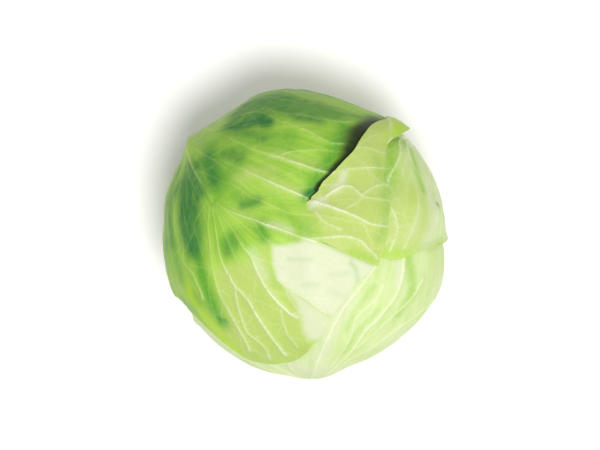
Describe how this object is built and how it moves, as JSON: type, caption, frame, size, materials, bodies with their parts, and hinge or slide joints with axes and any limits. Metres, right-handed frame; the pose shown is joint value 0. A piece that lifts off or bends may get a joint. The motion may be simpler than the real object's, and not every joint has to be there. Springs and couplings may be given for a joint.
{
  "type": "white cabbage",
  "caption": "Whole round white cabbage head with overlapping veined wrapper leaves and a cut stem, standing on its stem.",
  "frame": {"origin": "middle of the flat cut face of the stem, which the head rests on", "axes": "+Z up through the head's crown; the picture looks straight down -Z with +Y up in the picture and +X to the right"},
  "size_m": [0.1773, 0.1828, 0.1607],
  "materials": {
    "cut_stem": "moist cream cut stalk, faintly ringed, slightly brown at the rim",
    "heart_leaf": "very pale green tight inner leaves, smooth and waxy",
    "green_leaf": "fresh green leaf with bluish darker patches and pale raised veins, waxy sheen",
    "pale_leaf": "pale yellow-green leaf with near-white raised veins, waxy sheen"
  },
  "bodies": {
    "root": {"stem": "cut_stem", "heart": "heart_leaf", "wrapper_leaf_1": "green_leaf", "wrapper_leaf_2": "pale_leaf", "wrapper_leaf_3": "pale_leaf", "wrapper_leaf_4": "pale_leaf", "wrapper_leaf_5": "pale_leaf", "wrapper_leaf_6": "pale_leaf"}
  },
  "joints": []
}
